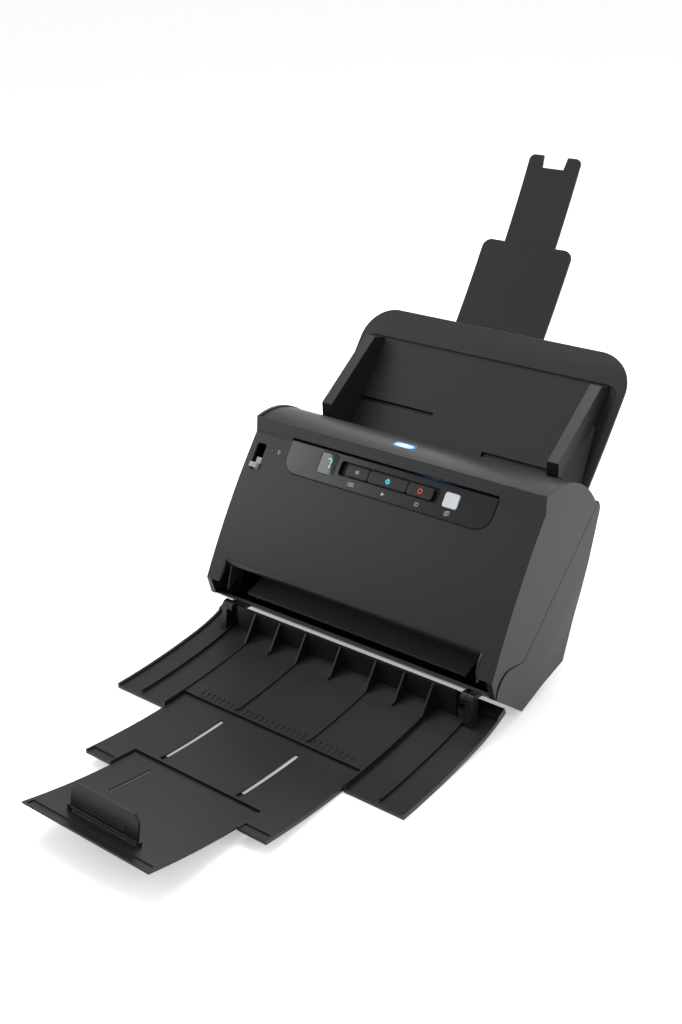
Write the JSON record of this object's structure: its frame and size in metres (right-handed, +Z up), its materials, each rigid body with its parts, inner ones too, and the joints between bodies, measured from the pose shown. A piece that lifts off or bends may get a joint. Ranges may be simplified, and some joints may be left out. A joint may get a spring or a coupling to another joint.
{
  "type": "sheet fed document scanner",
  "caption": "Desktop sheet-fed document scanner: black wedge body with hinged front unit, control panel, arched feed tray with side guides and a fold-up telescoping eject tray.",
  "frame": {"origin": "on the desk, under the middle of the whole outline with both trays open", "axes": "+X across the paper to the right seen from the front, +Y from the eject tray to the feed tray, +Z up"},
  "size_m": [0.291, 0.6034, 0.3636],
  "materials": {
    "shell_black": "fine textured moulding, black",
    "tray_black": "satin black moulding",
    "panel_gloss": "polished black",
    "key_black": "satin black",
    "key_grey": "frosted light grey",
    "lens_blue": "clear blue lens",
    "display_green": "dark tinted window",
    "lever_silver": "silver paint",
    "roller_rubber": "ground rubber",
    "foot_rubber": "matt",
    "belt_rubber": "matt",
    "plated_steel": "zinc plated sheet and shafts",
    "inner_grey": "dark grey moulding",
    "sensor_glass": "clear scanning glass",
    "gear_white": "natural acetal",
    "board_green": "solder mask"
  },
  "bodies": {
    "base": {"base_pan": "shell_black", "feet": "foot_rubber", "rear_cover": "shell_black", "side_panel_left": "shell_black", "side_panel_right": "shell_black", "side_frame_left": "plated_steel", "side_frame_right": "plated_steel", "lower_guide": "inner_grey", "lower_sensor": "inner_grey", "lower_glass": "sensor_glass", "feed_tray": "shell_black", "feed_housing": "shell_black", "tray_brackets": "tray_black", "motor": "plated_steel", "drive_belt": "belt_rubber", "main_board": "board_green", "power_socket": "inner_grey", "data_socket": "inner_grey", "cover_screws": "plated_steel"},
    "front_unit": {"front_cover": "shell_black", "top_cover": "shell_black", "control_panel": "panel_gloss", "key_bed": "key_black", "control_board": "board_green", "display_window": "display_green", "power_bezel": "key_black", "upper_chassis": "plated_steel", "pivot_arm_left": "plated_steel", "pivot_arm_right": "plated_steel", "upper_guide": "inner_grey", "upper_sensor": "inner_grey", "upper_glass": "sensor_glass"},
    "job_key": {"job_key": "key_black"},
    "start_key": {"start_key": "key_black"},
    "stop_key": {"stop_key": "key_black"},
    "filter_key": {"filter_key": "key_grey"},
    "power_key": {"power_key": "lens_blue"},
    "feed_lever": {"feed_lever": "lever_silver"},
    "separation_roller": {"separation_roller": "roller_rubber"},
    "drive_idlers": {"drive_idlers": "roller_rubber"},
    "eject_idlers": {"eject_idlers": "roller_rubber"},
    "feed_roller": {"feed_shaft": "plated_steel", "feed_tyres": "roller_rubber"},
    "drive_roller": {"drive_shaft": "plated_steel", "drive_tyres": "roller_rubber"},
    "eject_roller": {"eject_shaft": "plated_steel", "eject_tyres": "roller_rubber"},
    "motor_pulley": {"motor_pulley": "gear_white"},
    "guide_left": {"guide_left": "shell_black"},
    "guide_right": {"guide_right": "shell_black"},
    "guide_pinion": {"guide_pinion": "gear_white"},
    "feed_stage_one": {"feed_stage_one": "tray_black"},
    "feed_stage_two": {"feed_stage_two": "tray_black"},
    "eject_tray": {"eject_tray": "tray_black"},
    "tray_extension_one": {"tray_extension_one": "tray_black"},
    "tray_extension_two": {"tray_extension_two": "tray_black"},
    "tray_stop": {"tray_stop": "tray_black"}
  },
  "joints": [
    {"name": "front_unit_hinge", "type": "hinge", "parent": "base", "child": "front_unit", "pos_m": [0, 0.00048, 0.034], "axis": [1, 0, 0], "range_deg": [0, 45]},
    {"name": "job_key_press", "type": "slide", "parent": "front_unit", "child": "job_key", "axis": [0, 0.7807, -0.6249], "range_m": [0, 0.0008], "stiffness_N_per_m": 700, "springref_m": -0.0002},
    {"name": "start_key_press", "type": "slide", "parent": "front_unit", "child": "start_key", "axis": [0, 0.7807, -0.6249], "range_m": [0, 0.0008], "stiffness_N_per_m": 700, "springref_m": -0.0002},
    {"name": "stop_key_press", "type": "slide", "parent": "front_unit", "child": "stop_key", "axis": [0, 0.7807, -0.6249], "range_m": [0, 0.0008], "stiffness_N_per_m": 700, "springref_m": -0.0002},
    {"name": "filter_key_press", "type": "slide", "parent": "front_unit", "child": "filter_key", "axis": [0, 0.7807, -0.6249], "range_m": [0, 0.0008], "stiffness_N_per_m": 700, "springref_m": -0.0002},
    {"name": "power_key_press", "type": "slide", "parent": "front_unit", "child": "power_key", "axis": [0, -0.0593, -0.9982], "range_m": [0, 0.0008], "stiffness_N_per_m": 700, "springref_m": -0.0002},
    {"name": "feed_lever_slide", "type": "slide", "parent": "front_unit", "child": "feed_lever", "axis": [0, 0.6158, 0.7879], "range_m": [0, 0.014]},
    {"name": "separation_roller_spin", "type": "hinge", "parent": "front_unit", "child": "separation_roller", "pos_m": [0, 0.09764, 0.1279], "axis": [1, 0, 0], "continuous": true},
    {"name": "drive_idlers_spin", "type": "hinge", "parent": "front_unit", "child": "drive_idlers", "pos_m": [0, 0.07276, 0.1031], "axis": [1, 0, 0], "continuous": true},
    {"name": "eject_idlers_spin", "type": "hinge", "parent": "front_unit", "child": "eject_idlers", "pos_m": [0, 0.03292, 0.06968], "axis": [1, 0, 0], "continuous": true},
    {"name": "drive_roller_spin", "type": "hinge", "parent": "base", "child": "drive_roller", "pos_m": [0, 0.08394, 0.08977], "axis": [1, 0, 0], "continuous": true},
    {"name": "feed_roller_spin", "type": "hinge", "parent": "base", "child": "feed_roller", "pos_m": [0, 0.11075, 0.11227], "axis": [1, 0, 0], "continuous": true},
    {"name": "eject_roller_spin", "type": "hinge", "parent": "base", "child": "eject_roller", "pos_m": [0, 0.04411, 0.05635], "axis": [1, 0, 0], "continuous": true},
    {"name": "motor_pulley_spin", "type": "hinge", "parent": "base", "child": "motor_pulley", "pos_m": [0, 0.07048, 0.041], "axis": [1, 0, 0], "continuous": true},
    {"name": "guide_left_slide", "type": "slide", "parent": "base", "child": "guide_left", "axis": [1, 0, 0], "range_m": [-0.003, 0.078]},
    {"name": "guide_right_slide", "type": "slide", "parent": "base", "child": "guide_right", "axis": [1, 0, 0], "range_m": [-0.078, 0.003]},
    {"name": "guide_pinion_spin", "type": "hinge", "parent": "base", "child": "guide_pinion", "pos_m": [0, 0.14488, 0.15923], "axis": [0, -0.7254, 0.6884], "range_deg": [-638.94, 25.06]},
    {"name": "feed_stage_one_slide", "type": "hinge", "parent": "base", "child": "feed_stage_one", "pos_m": [0, -0.65748, 0.89721], "axis": [1, 0, 0], "range_deg": [-3.81, 0]},
    {"name": "feed_stage_two_slide", "type": "hinge", "parent": "feed_stage_one", "child": "feed_stage_two", "pos_m": [0, -0.65748, 0.89721], "axis": [1, 0, 0], "range_deg": [-3.81, 0]},
    {"name": "eject_tray_hinge", "type": "hinge", "parent": "base", "child": "eject_tray", "pos_m": [0, -0.01952, 0.029], "axis": [1, 0, 0], "range_deg": [-112, 0]},
    {"name": "tray_extension_one_slide", "type": "hinge", "parent": "eject_tray", "child": "tray_extension_one", "pos_m": [0, -0.11152, 0.668], "axis": [-1, 0, 0], "range_deg": [-7.29, 0]},
    {"name": "tray_extension_two_slide", "type": "hinge", "parent": "tray_extension_one", "child": "tray_extension_two", "pos_m": [0, -0.11152, 0.668], "axis": [-1, 0, 0], "range_deg": [-7.03, 0]},
    {"name": "tray_stop_hinge", "type": "hinge", "parent": "tray_extension_two", "child": "tray_stop", "pos_m": [0, -0.28279, 0.02657], "axis": [-1, 0, 0], "range_deg": [-90, 0]}
  ],
  "couplings": [
    {"joint": "feed_roller_spin", "follows": "drive_roller_spin", "ratio": 1},
    {"joint": "eject_roller_spin", "follows": "drive_roller_spin", "ratio": 1},
    {"joint": "motor_pulley_spin", "follows": "drive_roller_spin", "ratio": 1},
    {"joint": "guide_right_slide", "follows": "guide_left_slide", "ratio": -1},
    {"joint": "guide_pinion_spin", "follows": "guide_left_slide", "rad_per_m": -142.86}
  ]
}
